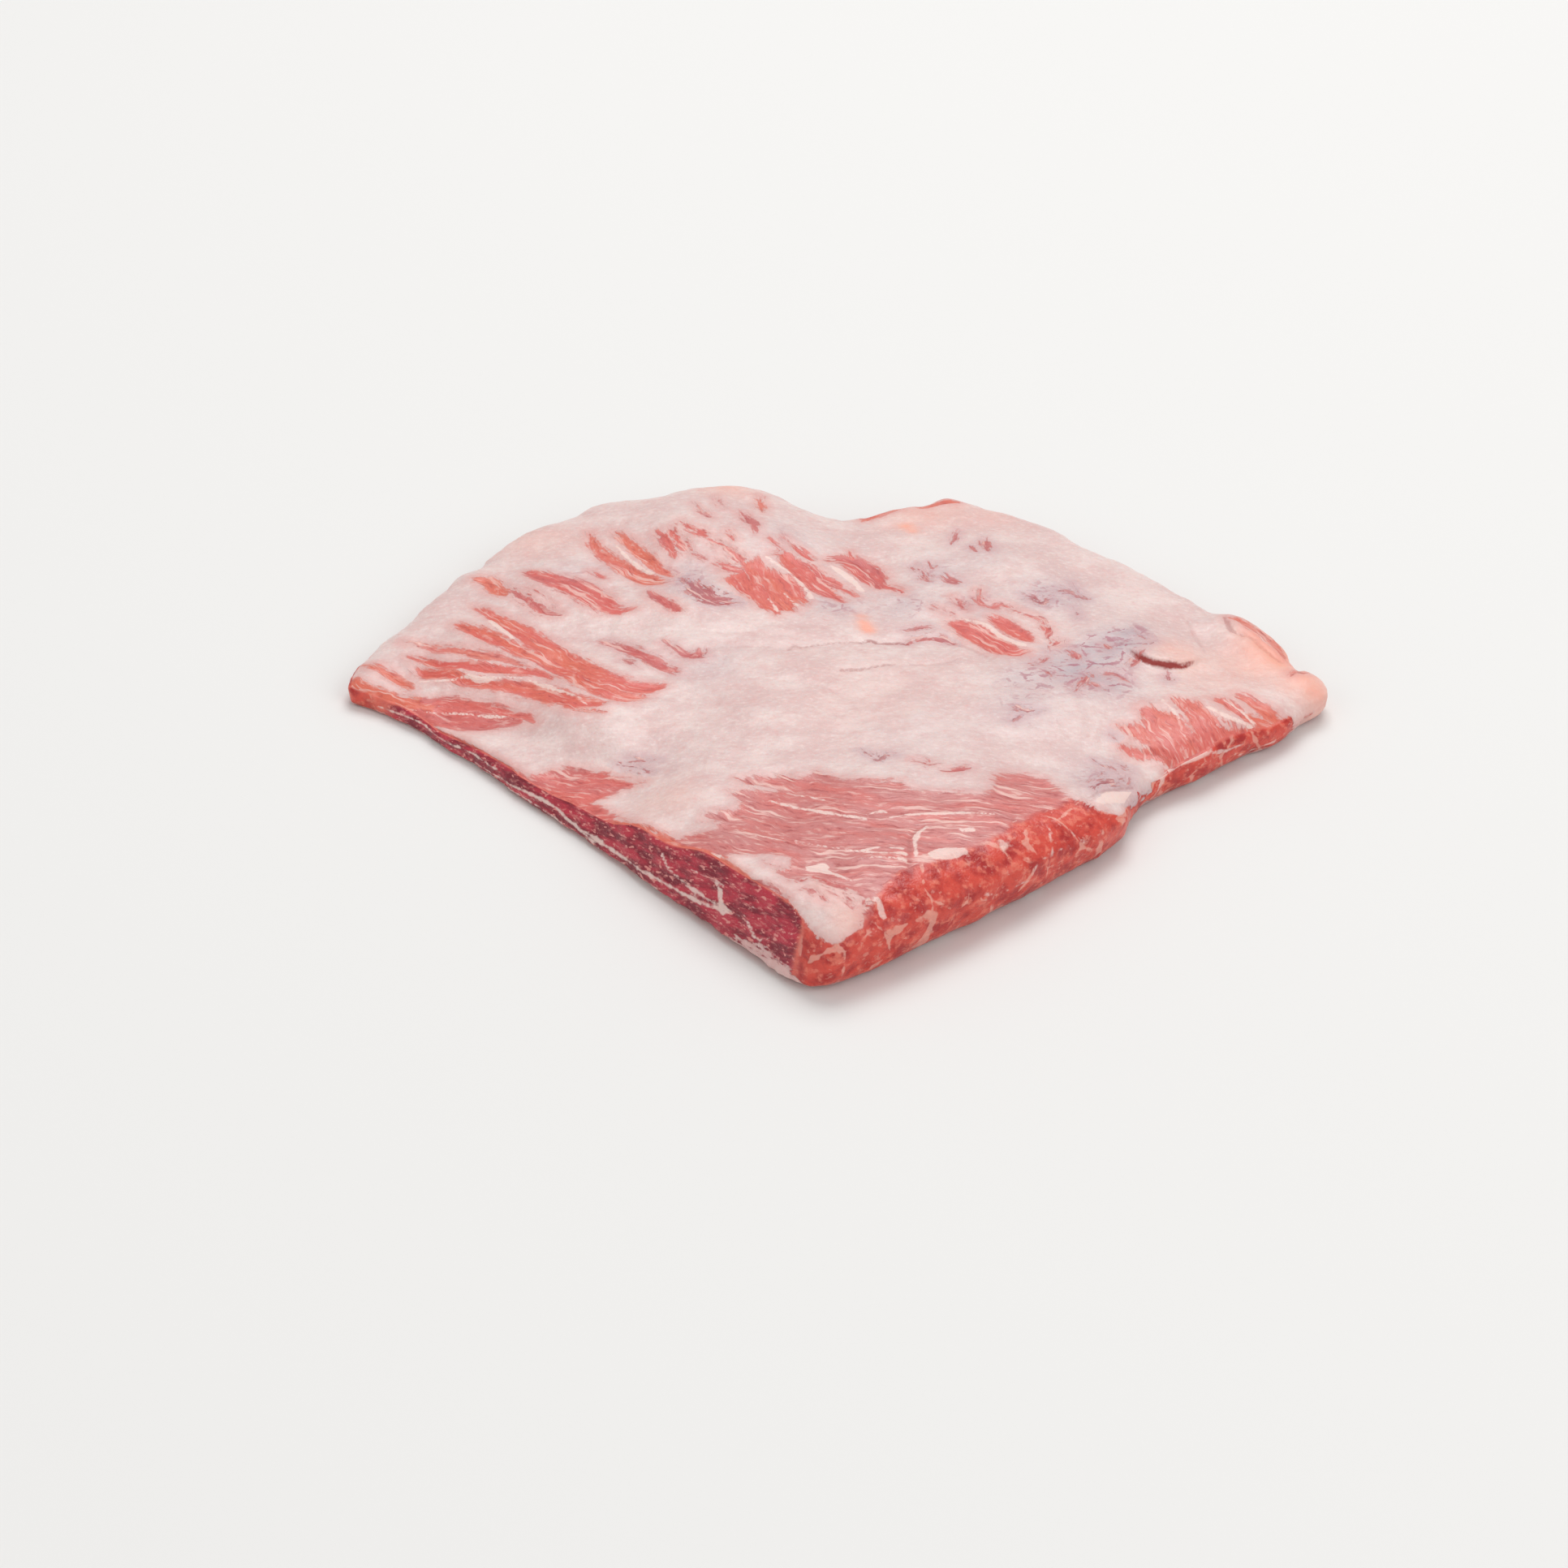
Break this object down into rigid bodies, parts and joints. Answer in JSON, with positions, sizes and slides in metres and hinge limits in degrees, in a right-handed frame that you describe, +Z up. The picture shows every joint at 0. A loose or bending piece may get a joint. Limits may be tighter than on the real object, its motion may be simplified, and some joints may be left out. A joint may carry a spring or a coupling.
{
  "type": "raw pork secreto",
  "caption": "Raw fan-shaped slab of marbled pork shoulder muscle under a thin white fat cover, with one knife-cut side, lying flat.",
  "frame": {"origin": "middle of the slab's footprint, on the surface it lies on", "axes": "+X from the thin left tip to the fat knob at the right, +Y from the sharp front corner to the two back lobes, +Z up through the slab"},
  "size_m": [0.263, 0.2376, 0.0208],
  "materials": {
    "fat_and_lean": "moist raw meat: pale pink fat with pink-red lean showing through, satin with soft wet highlights"
  },
  "bodies": {
    "root": {"pork_secreto": "fat_and_lean"}
  },
  "joints": []
}
